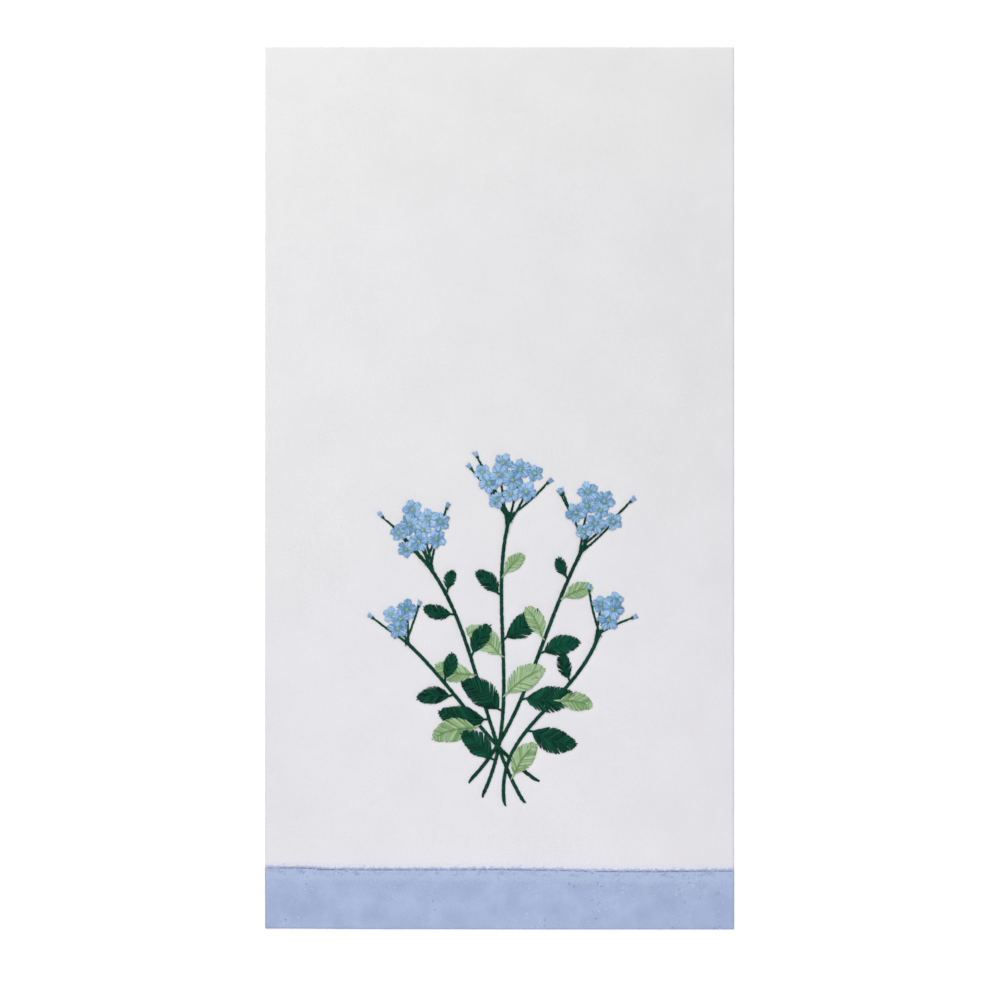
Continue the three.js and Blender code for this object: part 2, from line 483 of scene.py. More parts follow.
def velour(name, pale, deep, sheen_tint, shaded_roots, patch_mm, bump_mm):
    """Sheared cotton pile: brushed patches, tufts that lie over one way, and the fine tips of each tuft."""
    material, tree = new_material(name)
    place = add_node(tree, "ShaderNodeTexCoord").outputs["Object"]
    patches = add_node(tree, "ShaderNodeTexNoise", {
        "Vector": place, "Scale": 1 / (patch_mm * MM), "Detail": 3.0, "Roughness": 0.55,
    })
    brushed = add_node(tree, "ShaderNodeMapping", {
        "Vector": place, "Rotation": (0, 0, BRUSHED_TURN), "Scale": BRUSHED_SCALE,
    })
    frayed = add_node(tree, "ShaderNodeTexNoise", {
        "Vector": place, "Scale": 1 / (TIP_MM * MM), "Detail": 1.0,
    })
    ragged = add_node(tree, "ShaderNodeVectorMath", {
        0: frayed.outputs["Color"], 1: (FRAY_MM * MM,) * 3, 2: brushed,
    }, operation="MULTIPLY_ADD")
    tufts = add_node(tree, "ShaderNodeTexVoronoi", {
        "Vector": ragged, "Scale": 1 / (TUFT_MM * MM), "Randomness": 0.9,
    }, voronoi_dimensions="2D")
    crowns = add_node(tree, "ShaderNodeMapRange", {
        "Value": tufts, "From Max": CROWN_REACH, "To Min": 1.0, "To Max": 0.0,
    })
    tips = add_node(tree, "ShaderNodeTexNoise", {
        "Vector": place, "Scale": 1 / (TIP_MM * MM), "Detail": 3.0, "Roughness": 0.7,
    })
    pile = add_node(tree, "ShaderNodeMix", {
        0: TIP_SHARE, 2: crowns, 3: tips,
    })
    # Random patches of tone, and the pile's height, which paints its low places darker: painted shade
    tone_and_pile_shade = add_node(tree, "ShaderNodeMix", {
        0: PILE_SHARE, 2: patches, 3: pile,
    })
    shade = add_node(tree, "ShaderNodeMapRange", {
        "Value": tone_and_pile_shade, "From Min": SHADES[0], "From Max": SHADES[1],
    })
    colour = add_node(tree, "ShaderNodeMix", {
        0: shade, 6: linear(deep), 7: linear(pale),
    }, data_type="RGBA")
    locks = add_node(tree, "ShaderNodeTexNoise", {
        "Vector": place, "Scale": 1 / (COVER_MM * MM), "Detail": 2.0,
    })
    cover = add_node(tree, "ShaderNodeMapRange", {
        "Value": locks, "From Min": LOCKS[0], "From Max": LOCKS[1], "To Max": COVER_SHARE,
    })
    bare = add_node(tree, "ShaderNodeMath", {0: cover, 1: 1 - COVER_SHARE}, operation="ADD")
    # Two marks paint light into the colour: a painted sheen beside the seam, and painted shade where roots
    # show
    for label, most, tint in (("painted_sheen", SHEEN_SHARE, sheen_tint), ("roots_and_shade", SHADED_ROOTS_SHARE, shaded_roots)):
        marked = add_node(tree, "ShaderNodeAttribute", attribute_name=label)
        shown = add_node(tree, "ShaderNodeMapRange", {
            "Value": marked.outputs["Fac"], "From Min": cover, "From Max": bare,
            "To Max": most,
        })
        colour = add_node(tree, "ShaderNodeMix", {
            0: shown, 6: colour.outputs[2], 7: linear(tint),
        }, data_type="RGBA")
    bump = add_node(tree, "ShaderNodeBump", {
        "Strength": 0.8, "Distance": bump_mm * MM, "Height": pile,
    })
    fill(tree, tree.nodes["Principled BSDF"], {
        "Base Color": colour.outputs[2], "Normal": bump, "Roughness": 0.95, "Specular IOR Level": 0.15,
        "Sheen Weight": 0.12, "Sheen Roughness": 0.6,
    })
    return material


# Dyes, then the tint of the painted sheen, then the roots' colour darkened with painted shade
white_velour = velour("white cotton velour", "EDEDEC", "E7E7E6", "E0E3F1", "B1BDD9", 60, 0.36)
blue_velour = velour("blue cotton velour", "B5C5E2", "A1B2D0", "BACAE1", "98A7C6", 22, 0.4)
towel_body.data.materials.append(white_velour)
border_band.data.materials.append(blue_velour)
print("cloth:", white_velour.name, "and", blue_velour.name)

# %% [markdown]
# ## A nosegay to embroider
# The towel's face carries one embroidered bunch of flowers. This one is a plain nosegay: five heads of small
# round flowers on stems that cross near the foot, with pointed leaves. The design is a few tables in
# millimetres from the middle of the towel, and rules that turn each stem, leaf and petal into stitches.
# Only the tables need changing to draw another bunch.

# %% Design tables
# Each stem is one smooth curve: its foot, two points that pull it sideways, and its top
STEMS = {
    "top": [(-14, -264), (22, -190), (-12, -100), (9, -24)],
    "left": [(20, -270), (-18, -205), (-20, -120), (-64, -64)],
    "right": [(-25, -252), (22, -205), (34, -125), (74, -48)],
    "low_left": [(31, -252), (-12, -222), (-40, -170), (-82, -132)],
    "low_right": [(4, -272), (-4, -205), (64, -190), (87, -124)],
}
HEADS = [
    {"stem": "top", "middle": (8, 6), "spread": 26, "flowers": 10, "buds": 3},
    {"stem": "left", "middle": (-71, -36), "spread": 24, "flowers": 9, "buds": 2},
    {"stem": "right", "middle": (82, -20), "spread": 23, "flowers": 8, "buds": 3},
    {"stem": "low_left", "middle": (-88, -113), "spread": 13, "flowers": 4, "buds": 2},
    {"stem": "low_right", "middle": (93, -105), "spread": 13, "flowers": 4, "buds": 2},
]
# A leaf's stem, the share of the stem's length that it grows at, its lean from the stem in degrees (to the
# left if positive), its length and half width in millimetres, and its thread
LEAVES = [
    ("top", 0.30, 58, 40, 10.5, "dark"),
    ("top", 0.36, -56, 38, 10.0, "light"),
    ("top", 0.50, 50, 36, 9.5, "light"),
    ("top", 0.56, -50, 36, 9.0, "dark"),
    ("top", 0.72, 46, 26, 6.5, "dark"),
    ("top", 0.79, -46, 22, 6.0, "light"),
    ("left", 0.34, 62, 40, 10.0, "dark"),
    ("left", 0.52, 58, 32, 8.0, "light"),
    ("left", 0.60, -50, 28, 7.0, "dark"),
    ("left", 0.77, 52, 24, 6.0, "dark"),
    ("left", 0.85, -46, 17, 4.5, "dark"),
    ("right", 0.36, -60, 42, 10.5, "dark"),
    ("right", 0.55, -56, 32, 8.0, "dark"),
    ("right", 0.60, 50, 28, 7.0, "light"),
    ("right", 0.77, -50, 25, 6.5, "light"),
    ("right", 0.85, 44, 17, 4.5, "dark"),
    ("low_left", 0.42, 66, 38, 9.5, "light"),
    ("low_left", 0.62, 58, 28, 7.0, "dark"),
    ("low_left", 0.72, -54, 22, 5.5, "dark"),
    ("low_right", 0.40, -66, 40, 10.0, "dark"),
    ("low_right", 0.60, -58, 28, 7.5, "light"),
    ("low_right", 0.72, 52, 22, 5.5, "dark"),
    ("left", 0.10, -62, 32, 8.5, "light"),
    ("top", 0.12, 66, 34, 9.0, "dark"),
]
print(len(STEMS), "stems,", len(HEADS), "flower heads and", len(LEAVES), "leaves")

# %% [markdown]
# ## From lines to stitches
# A stitch is a short thread that comes up through the cloth at one point and goes down at another. Every rule
# below only lists such stitches. One long list is quicker to make and to change than one object for each,
# and Geometry Nodes later lays a thread on every row of it. Stitches that are sewn together, such as those of
# one leaf, are a shape: a shape lies on top of the shapes that were sewn before it.

# %% Needle and drawing tools
SEED = 7
UNEVEN = 0.1
TURN = 2 * math.pi
CURVE_POINTS = 240
needle = random.Random(SEED)
# A stitch's piece and shape, the x and y of its start and of its end, its width, shade, lift and tilt
stitches = []
shapes = [0]


def polar(angle, length):
    return Vector((math.cos(angle), math.sin(angle))) * length


def new_shape():
    """Stitches sewn after this lie on those sewn before it."""
    shapes.append(len(shapes))


def sew(piece, start, end, width, shade, lift=0.0):
    """Adds one stitch: two points, a width and a lift in millimetres, and a shade from -1 to 1."""
    uneven = lift + needle.uniform(0, UNEVEN)
    stitches.append((piece, shapes[-1], start.x, start.y, end.x, end.y, width, shade, uneven, 0.0))


def curve_points(knots, count):
    """Points along the smooth curve that four knots give, with the heading at each."""
    points = interpolate_bezier(*[Vector(knot) for knot in knots], count)
    headings = [math.atan2(b.y - a.y, b.x - a.x) for a, b in zip(points[:-1], points[1:])]
    return points, headings + headings[-1:]


def walk(knots, step):
    """Places at even steps along a curve: a list of points and headings."""
    points, headings = curve_points(knots, CURVE_POINTS)
    places, travelled = [(points[0], headings[0])], 0.0
    for i in range(1, len(points)):
        travelled += (points[i] - points[i - 1]).length
        if travelled >= step * len(places):
            places.append((points[i], headings[i]))
    return places


print("the stems are", [len(walk(knots, 1)) - 1 for knots in STEMS.values()], "mm long")

# %% [markdown]
# ### Stems in stem stitch
# Stem stitch is a row of slanting stitches, each starting beside the middle of the last one, so that the row
# looks like a thin rope. Two rows side by side make a stem about 2.5 mm wide.

# %% Sew the stems
STEM_STEP = 2.4
STEM_STITCH = 5.2
STEM_LENGTHS = (0.9, 1.15)
STEM_SHIFT = 0.4
STEM_SHADES = 0.6
STEM_SLANT = math.radians(15)
STEM_THREAD = 1.25
STEM_ROW_GAP = 0.95


def sew_stem(piece, knots, rows, thread, shade):
    """One or more rows of stem stitch, side by side along a curve."""
    new_shape()
    for point, heading in walk(knots, STEM_STEP):
        for row in range(rows):
            aside = polar(heading + TURN / 4, (row - (rows - 1) / 2) * STEM_ROW_GAP)
            along = polar(heading + STEM_SLANT, STEM_STITCH / 2 * needle.uniform(*STEM_LENGTHS))
            middle = point + aside + polar(heading, needle.uniform(-STEM_SHIFT, STEM_SHIFT))
            tone = shade + needle.uniform(-STEM_SHADES, STEM_SHADES)
            sew(piece, middle - along, middle + along, thread, tone)


for knots in STEMS.values():
    sew_stem("dark_stems", knots, 2, STEM_THREAD, -0.1)
print("stem stitches:", len(stitches))

# %% [markdown]
# ### Leaves in fishbone stitch
# Fishbone stitch fills a leaf from its midrib: each stitch runs from the rib outwards and a little forwards
# to the leaf's edge. Long ones are sewn as two, because a long loose thread would snag. Uneven ends give the
# leaf its saw edge, and a row of back stitches draws the vein.

# %% Sew the leaves
LEAF_THREAD = 1.1
RIB_STEP = 0.85
FORWARD_SHARE = 0.85
LONGEST_STITCH = 6.5
SHORTEST_STITCH = 1.7
OVERLAP = 1.2
OVERLAP_LIFT = 0.06
SPLIT = (0.38, 0.62)
INNER_SHADES = (-0.3, 0.1)
OUTER_SHADES = (-0.1, 0.3)
LEAF_BEND = 0.10
BEND_AT = (0.35, 0.7)
BASE_LEAD = 0.08
TIP_STOP = 0.98
RIB_GAP = 0.25
NARROWEST = 0.5
RAGGED = 0.9
LEAF_SHADES = 1.05
LEAF_TONES = 0.25
BASE_FULLNESS = 0.8
SIDE_FULLNESS = 0.9
PETIOLE = 5.0
VEIN_STEP = 3.4
VEIN_LAP = 0.5
VEIN_THREAD = 0.9
VEIN_SHADE = {"dark": 0.9, "light": -0.9}
VEIN_SHADES = 0.3


def leaf_width(share):
    """The half width of a pointed leaf, as a share of its widest, from its base to its tip."""
    return math.sin(math.pi * share ** BASE_FULLNESS) ** SIDE_FULLNESS if 0 < share < 1 else 0.0


def sew_long(piece, start, end, thread, shade):
    """One stitch, or two that overlap where it would be too long."""
    reach = end - start
    if reach.length <= LONGEST_STITCH:
        sew(piece, start, end, thread, shade)
        return
    split = needle.uniform(*SPLIT)
    lap = reach.normalized() * OVERLAP / 2
    sew(piece, start, start + reach * split + lap, thread, shade + needle.uniform(*INNER_SHADES))
    tone = shade + needle.uniform(*OUTER_SHADES)
    sew(piece, start + reach * split - lap, end, thread, tone, OVERLAP_LIFT)


def sew_leaf(piece, base, heading, length, half, shade):
    """A pointed leaf, filled from both sides of its rib. Returns the rib's curve."""
    new_shape()
    tip = base + polar(heading, length)
    pull = polar(heading + TURN / 4, length * LEAF_BEND * needle.choice((-1, 1)))
    knots = [base] + [base + (tip - base) * share + pull for share in BEND_AT] + [tip]
    count = int(length / RIB_STEP)
    rib, headings = curve_points(knots, count)
    for i in range(count):
        for side in (-1, 1):
            ahead = half * leaf_width(min(i / count + BASE_LEAD, TIP_STOP)) * FORWARD_SHARE
            edge = min(int(i + ahead / RIB_STEP), count - 1)
            out = half * leaf_width(max(edge, 1) / count) + needle.uniform(-RAGGED, RAGGED) * 0.5
            end = rib[edge] + polar(headings[edge] + side * TURN / 4, max(out, NARROWEST))
            end = end + polar(headings[edge], needle.uniform(0, RAGGED))
            start = rib[i] + polar(headings[i] + side * TURN / 4, RIB_GAP)
            if (end - start).length > SHORTEST_STITCH:
                tone = shade + needle.uniform(-LEAF_SHADES, LEAF_SHADES)
                sew_long(piece, start, end, LEAF_THREAD, tone)
    sew(piece, rib[-4], tip, LEAF_THREAD, shade)
    return knots


def sew_vein(piece, knots, shade):
    """Back stitches along a leaf's rib, each a little over the next."""
    new_shape()
    places = walk(knots, VEIN_STEP)[:-2]
    for (point, heading), (ahead, _) in zip(places[:-1], places[1:]):
        tone = shade + needle.uniform(-VEIN_SHADES, VEIN_SHADES)
        sew(piece, point, ahead + polar(heading, VEIN_LAP), VEIN_THREAD, tone)


for stem, at, lean, length, half, dye in LEAVES:
    places = walk(STEMS[stem], STEM_STEP)
    foot, heading = places[int(at * (len(places) - 1))]
    heading = heading + math.radians(lean)
    start, base = foot + polar(heading, PETIOLE * 0.5), foot + polar(heading, PETIOLE)
    petiole = [start, start.lerp(base, 0.3), start.lerp(base, 0.6), base]
    sew_stem(dye + "_stems", petiole, 1, STEM_THREAD, 0.0)
    tone = needle.uniform(-LEAF_TONES, LEAF_TONES)
    rib = sew_leaf(dye + "_leaves", base, heading, length, half, tone)
    sew_vein(dye + "_leaves", rib, VEIN_SHADE[dye])
print("stitches with the leaves:", len(stitches))

# %% [markdown]
# ### Flowers in satin stitch
# A small flower has five round petals. Each is a fan of satin stitches from the flower's middle to the
# petal's edge, deep blue at the root and paler outside, and a knot covers the place where they meet. A head
# packs its flowers as seeds sit in a sunflower, each turned by the golden angle, which leaves no rows and no
# large gaps.

# %% Sew the flower heads
PETALS = 5
PETAL_SPREAD = math.radians(64)
PETAL_THREAD = 1.15
PETAL_MIDDLE = 0.61
OUTER_STITCHES = 11
OUTER_START = (0.25, 0.45)
OUTER_RAGGED = (0.9, 1.05)
OUTER_LIFT = 0.12
PALE_MIDDLE = 0.25
DEEP_SIDES = 0.6
PETAL_SHADES = 1.0
PETAL_TONES = 0.45
ROOT_STITCHES = 4
ROOT_START = 0.1
ROOT_REACH = (0.42, 0.66)
ROOT_SHADES = (0.2, 1.2)
ROOT_LIFT = 0.1
FLOWER_RADIUS = (6.8, 9.2)
FLOWER_TONES = 0.4
GOLDEN_ANGLE = math.pi * (3 - math.sqrt(5))
HEAD_SQUASH = 0.86
HEAD_JITTER = 1.8
FORK_STEPS = 6
STALK_THREAD = 0.9
KNOT = 2.4
KNOT_STITCHES = 4
KNOT_STEP = 0.06
KNOT_SHADES = 0.6
BUD_FAN = (-0.30, -0.1, 0.1, 0.30)
BUD_START = 0.6
BUD_LENGTHS = (5.4, 6.6)
BUD_SHADES = (-0.8, 0.4)
BUD_LEAN = (0.9, 1.7)
BUD_OUTSIDE = (6, 9)
CUP_FAN = (-0.5, 0, 0.5)
CUP_START = 0.8
CUP_LENGTH = 2.4
STALK_BEND = 2


def petal_reach(aside):
    """How far a round petal reaches at an angle from its middle line, as a share of the flower's radius."""
    across = PETAL_MIDDLE * math.sin(aside)
    return PETAL_MIDDLE * math.cos(aside) + math.sqrt((1 - PETAL_MIDDLE) ** 2 - across ** 2)


def sew_petal(piece, middle, radius, heading, tone):
    """A fan of long stitches, paler in its middle, over which short deep ones spread from the root."""
    for k in range(OUTER_STITCHES):
        aside = PETAL_SPREAD * (k / (OUTER_STITCHES - 1) - 0.5)
        reach = radius * petal_reach(aside) * needle.uniform(*OUTER_RAGGED)
        start = middle + polar(heading + aside, radius * needle.uniform(*OUTER_START))
        end = middle + polar(heading + aside, reach)
        sideways = (aside / PETAL_SPREAD * 2) ** 4
        shade = tone + PALE_MIDDLE - DEEP_SIDES * sideways + needle.uniform(-PETAL_SHADES, PETAL_SHADES)
        sew(piece, start, end, PETAL_THREAD, shade, needle.uniform(0, OUTER_LIFT))
    for k in range(ROOT_STITCHES):
        aside = PETAL_SPREAD * ((k + 0.5) / ROOT_STITCHES - 0.5)
        reach = radius * needle.uniform(*ROOT_REACH)
        start = middle + polar(heading + aside, radius * ROOT_START)
        end = middle + polar(heading + aside, reach)
        sew(piece, start, end, PETAL_THREAD, tone - needle.uniform(*ROOT_SHADES), ROOT_LIFT)


def sew_knot(middle):
    """Short thick stitches that cross in a star, one above the other."""
    new_shape()
    turn = needle.uniform(0, TURN)
    for k in range(KNOT_STITCHES):
        across = polar(turn + k * TURN / 2 / KNOT_STITCHES, KNOT / 2)
        shade = needle.uniform(-KNOT_SHADES, KNOT_SHADES)
        sew("flower_knots", middle - across, middle + across, KNOT / 2, shade, ROOT_LIFT + KNOT_STEP * k)


def sew_flower(piece, middle, radius, shade):
    new_shape()
    turn = needle.uniform(0, TURN)
    for petal in range(PETALS):
        heading = turn + petal * TURN / PETALS
        tone = shade + needle.uniform(-PETAL_TONES, PETAL_TONES)
        sew_petal(piece, middle, radius, heading, tone)
    sew_knot(middle)


def sew_bud(piece, base, heading):
    """A closed flower: a narrow blue fan in a small green cup."""
    new_shape()
    for aside in BUD_FAN:
        end = base + polar(heading + aside, needle.uniform(*BUD_LENGTHS))
        sew(piece, base + polar(heading, BUD_START), end, PETAL_THREAD, needle.uniform(*BUD_SHADES))
    new_shape()
    for aside in CUP_FAN:
        rim = base + polar(heading + aside, CUP_LENGTH)
        sew("dark_stems", base - polar(heading, CUP_START), rim, STALK_THREAD, 0.2)


def sew_stalk(start, end):
    heading = math.atan2(end.y - start.y, end.x - start.x)
    bend = polar(heading + TURN / 4, needle.uniform(-STALK_BEND, STALK_BEND))
    knots = [start] + [start.lerp(end, share) + bend for share in BEND_AT] + [end]
    sew_stem("dark_stems", knots, 1, STALK_THREAD, 0.1)


def sew_head(row):
    """Buds on long stalks first, then stalks for every second flower, then the flowers over them."""
    stem = walk(STEMS[row["stem"]], STEM_STEP)
    middle, joint = Vector(row["middle"]), stem[-1][0]
    flowers, piece = row["flowers"], row["stem"] + "_flowers"
    up = math.atan2(middle.y - joint.y, middle.x - joint.x)
    for b in range(row["buds"]):
        lean = up + (-1) ** b * needle.uniform(*BUD_LEAN)
        bud = middle + polar(lean, row["spread"] + needle.uniform(*BUD_OUTSIDE))
        sew_stalk(joint, bud)
        sew_bud(piece, bud, math.atan2(bud.y - joint.y, bud.x - joint.x))
    places = []
    for i in reversed(range(flowers)):
        away = polar(i * GOLDEN_ANGLE, row["spread"] * math.sqrt((i + 0.3) / flowers))
        shift = polar(needle.uniform(0, TURN), needle.uniform(0, HEAD_JITTER))
        places.append(middle + shift + Vector((away.x, away.y * HEAD_SQUASH)))
    for place in places[::2]:
        sew_stalk(stem[-1 - needle.randrange(FORK_STEPS)][0], place)
    for place in places:
        radius = needle.uniform(*FLOWER_RADIUS)
        sew_flower(piece, place, radius, needle.uniform(-FLOWER_TONES, FLOWER_TONES))


for row in HEADS:
    sew_head(row)
print("stitches in all:", len(stitches), "in", len(shapes), "shapes")

# %% [markdown]
# ### How the threads pile up
# Where a leaf crosses a stem it climbs over it, and comes down to the cloth again on the other side. A height
# map of the embroidered place, with a point every half millimetre, keeps track: each shape reads the height
# under its stitches and then adds its own.

# %% Stack the shapes
MAP_STEP = 0.5
MAP_CORNER = np.array([-140.0, -300.0])
MAP_SIZE = (560, 760)
STACK_LIMIT = 1.7
STACK_SHARE = 0.9
THREAD_FLATNESS = 0.6
SPOTS_ALONG = 12
SPOTS_ASIDE = (-0.4, 0, 0.4)


def stack(rows):
    """The height in millimetres of what lies under each stitch, for shapes in sewing order."""
    heights = np.zeros(len(rows))
    built = np.zeros(MAP_SIZE)
    shape_of = np.array([row[1] for row in rows])
    facts = np.array([row[2:7] for row in rows])
    along = np.linspace(0, 1, SPOTS_ALONG)[None, :, None]
    for shape in np.unique(shape_of):
        chosen = np.flatnonzero(shape_of == shape)
        start, end, width = facts[chosen, None, 0:2], facts[chosen, None, 2:4], facts[chosen, 4]
        across = (end - start)[..., ::-1] * (-1, 1)
        across = across / np.linalg.norm(across, axis=-1, keepdims=True) * width[:, None, None]
        line = start + (end - start) * along
        spots = np.concatenate([line + across * side for side in SPOTS_ASIDE], axis=1)
        cells = np.floor((spots - MAP_CORNER) / MAP_STEP).astype(int)
        under = built[cells[..., 0], cells[..., 1]].mean(axis=1)
        heights[chosen] = under
        top = np.minimum(under + width * THREAD_FLATNESS * STACK_SHARE, STACK_LIMIT)
        tops = np.repeat(top[:, None], cells.shape[1], axis=1)
        np.maximum.at(built, (cells[..., 0], cells[..., 1]), tops)
    return heights


under = stack(stitches)
print("the threads pile up to", round(float(under.max()), 2), "mm")

# %% [markdown]
# ## Laying the threads
# Each stitch becomes one point with its turn, length, width and shade as attributes. A Geometry Nodes tree
# bends a short line into an arch, gives it a round section that thins at both ends, and sets a copy on every
# point. The instances are made real at the end, because an export drops them.

# %% Thread tree
END_TAPER = 0.55


def new_tree(name, inputs, output):
    """A Geometry Nodes tree with named inputs and one output, and the sockets that give its inputs."""
    tree = bpy.data.node_groups.new(name, "GeometryNodeTree")
    for label, kind in inputs.items():
        tree.interface.new_socket(label, in_out="INPUT", socket_type="NodeSocket" + kind)
    tree.interface.new_socket(output, in_out="OUTPUT", socket_type="NodeSocketGeometry")
    return tree, add_node(tree, "NodeGroupInput").outputs


def stitch_tree():
    """Lays an arched thread on every point, by the point's turn, tilt, length and width."""
    tree, given = new_tree("lay_stitches", {
        "Points": "Geometry", "Segments": "Int", "Sides": "Int",
        "Flatness": "Float", "Arch": "Float", "Thread": "Material",
    }, "Threads")
    line = add_node(tree, "GeometryNodeCurvePrimitiveLine", {"Start": (-0.5, 0, 0), "End": (0.5, 0, 0)})
    fine = add_node(tree, "GeometryNodeResampleCurve", {"Curve": line, "Count": given["Segments"]})
    along = add_node(tree, "GeometryNodeSplineParameter").outputs["Factor"]
    centred = add_node(tree, "ShaderNodeMath", {0: along, 1: 2.0, 2: -1.0}, operation="MULTIPLY_ADD")
    fourth = add_node(tree, "ShaderNodeMath", {0: centred, 1: 4.0}, operation="POWER")
    dip = add_node(tree, "ShaderNodeMath", {0: fourth, 1: -2.0, 2: 1.0}, operation="MULTIPLY_ADD")
    lift = add_node(tree, "ShaderNodeMath", {0: dip, 1: given["Arch"]}, operation="MULTIPLY")
    rise = add_node(tree, "ShaderNodeCombineXYZ", {"Z": lift})
    arch = add_node(tree, "GeometryNodeSetPosition", {"Geometry": fine, "Offset": rise})
    named = add_node(tree, "GeometryNodeStoreNamedAttribute", {
        "Geometry": arch, "Name": "along", "Value": along,
    }, data_type="FLOAT", domain="POINT")
    taper = add_node(tree, "ShaderNodeMath", {0: fourth, 1: -END_TAPER, 2: 1.0}, operation="MULTIPLY_ADD")
    ring = add_node(tree, "GeometryNodeCurvePrimitiveCircle", {"Resolution": given["Sides"], "Radius": 0.5})
    wound = add_node(tree, "GeometryNodeStoreNamedAttribute", {
        "Geometry": ring, "Name": "around", "Value": along,
    }, data_type="FLOAT", domain="POINT")
    thread = add_node(tree, "GeometryNodeCurveToMesh", {
        "Curve": named, "Profile Curve": wound,
        "Scale": taper, "Fill Caps": True,
    })
    field = {
        name: add_node(tree, "GeometryNodeInputNamedAttribute", {"Name": name}, data_type="FLOAT")
        for name in ("turn", "tilt", "length", "width")
    }
    spin = add_node(tree, "ShaderNodeCombineXYZ", {"Y": field["tilt"], "Z": field["turn"]})
    depth = add_node(tree, "ShaderNodeMath", {0: field["width"], 1: given["Flatness"]}, operation="MULTIPLY")
    size = add_node(tree, "ShaderNodeCombineXYZ", {
        "X": field["length"], "Y": field["width"], "Z": depth,
    })
    turned = add_node(tree, "FunctionNodeEulerToRotation", {"Euler": spin})
    laid = add_node(tree, "GeometryNodeInstanceOnPoints", {
        "Points": given["Points"], "Instance": thread,
        "Rotation": turned, "Scale": size,
    })
    real = add_node(tree, "GeometryNodeRealizeInstances", {"Geometry": laid})
    smooth = add_node(tree, "GeometryNodeSetShadeSmooth", {"Geometry": real})
    dyed = add_node(tree, "GeometryNodeSetMaterial", {"Geometry": smooth, "Material": given["Thread"]})
    add_node(tree, "NodeGroupOutput", {0: dyed})
    return tree


def run_tree(name, mesh, tree, values):
    """Runs a Geometry Nodes tree on a mesh, and keeps what it makes as a plain mesh object."""
    made = add_object(name, mesh)
    modifier = made.modifiers.new(name, "NODES")
    modifier.node_group = tree
    inputs = {item.name: item.identifier for item in tree.interface.items_tree if item.in_out == "INPUT"}
    for label, value in values.items():
        modifier[inputs[label]] = value
    graph = bpy.context.evaluated_depsgraph_get()
    result = bpy.data.meshes.new_from_object(
        made.evaluated_get(graph), preserve_all_data_layers=True, depsgraph=graph,
    )
    made.modifiers.remove(modifier)
    made.data = result
    result.name = name
    return made


lay_stitches = stitch_tree()
print("tree", lay_stitches.name, "has", len(lay_stitches.nodes), "nodes")

# %% [markdown]
# ## Thread
# The threads are stranded cotton: soft, with a low silky gloss along each thread. No two stitches catch the
# light alike, so each carries its own shade, between a deep and a pale dye lot.

# %% Thread materials
STRANDS = 6
TWIST_MM = 2.6
STRAND_GROOVE_SHADE = 0.3
STRAND_RELIEF = 0.1


def cotton_thread(name, deep, pale, relief_mm):
    """Six strands, loosely twisted, with painted shade in the grooves between them and a shade of its own for
    each stitch. Loose fibres have no relief.
    """
    material, tree = new_material(name)
    marks = {
        label: add_node(tree, "ShaderNodeAttribute", attribute_name=label).outputs["Fac"]
        for label in ("along", "length", "around", "shade")
    }
    run = add_node(tree, "ShaderNodeMath", {0: marks["along"], 1: marks["length"]}, operation="MULTIPLY")
    turns = add_node(tree, "ShaderNodeMath", {0: run, 1: TURN / (TWIST_MM * MM)}, operation="MULTIPLY")
    angle = add_node(tree, "ShaderNodeMath", {
        0: marks["around"], 1: STRANDS * TURN, 2: turns,
    }, operation="MULTIPLY_ADD")
    strand = add_node(tree, "ShaderNodeMath", {0: angle}, operation="SINE")
    # The grooves between strands are painted darker: painted shade
    shade = add_node(tree, "ShaderNodeMath", {
        0: strand, 1: STRAND_GROOVE_SHADE, 2: marks["shade"],
    }, operation="MULTIPLY_ADD")
    share = add_node(tree, "ShaderNodeMapRange", {"Value": shade, "From Min": -1.0, "From Max": 1.0})
    colour = add_node(tree, "ShaderNodeMix", {
        0: share, 6: linear(deep), 7: linear(pale),
    }, data_type="RGBA")
    bump = add_node(tree, "ShaderNodeBump", {"Strength": 0.6, "Distance": relief_mm * MM, "Height": strand})
    fill(tree, tree.nodes["Principled BSDF"], {
        "Base Color": colour.outputs[2], "Normal": bump, "Roughness": 0.6, "Specular IOR Level": 0.10,
    })
    return material


THREADS = {
    "blue_thread": cotton_thread("blue stranded cotton", "6A99BA", "B3D8F8", STRAND_RELIEF),
    "dark_green_thread": cotton_thread("dark green stranded cotton", "00281A", "115A42", STRAND_RELIEF),
    "light_green_thread": cotton_thread("light green stranded cotton", "7AA065", "BAD8AB", STRAND_RELIEF),
}
print("threads:", ", ".join(THREADS))

# %% [markdown]
# ### One object for each part of the design
# The list is split by piece, such as the dark leaves or one flower head. A piece has one thread, and its
# stitches start a little below the top of the pile, because a tight stitch sinks into it.

# %% Lay every stitch
PRESS = 0.5 * MM
THREAD_ARCH = 0.5


def thread_of(piece):
    if piece.endswith("flowers"):
        return "blue_thread"
    is_light = piece.startswith("light") or piece == "flower_knots"
    return "light_green_thread" if is_light else "dark_green_thread"


def swell_under(rows):
    """The rise of the cloth under the middle of each stitch."""
    middles = np.array([((row[2] + row[4]) / 2, (row[3] + row[5]) / 2) for row in rows]) * MM
    return swell(middles[:, 0], middles[:, 1])


def stitch_points(name, rows, base):
    """A mesh with one point for each stitch at its base height, marked with what the tree reads."""
    start_x, start_y, end_x, end_y, width, shade, lift, tilt = np.array([row[2:] for row in rows]).T
    x, y = (start_x + end_x) / 2 * MM, (start_y + end_y) / 2 * MM
    mesh = bpy.data.meshes.new(name)
    mesh.from_pydata(np.stack([x, y, base + lift * MM], axis=-1).tolist(), [], [])
    mark(mesh, "turn", np.arctan2(end_y - start_y, end_x - start_x))
    mark(mesh, "tilt", -tilt)
    mark(mesh, "length", np.hypot(end_x - start_x, end_y - start_y) * MM)
    mark(mesh, "width", width * MM)
    mark(mesh, "shade", shade)
    return mesh


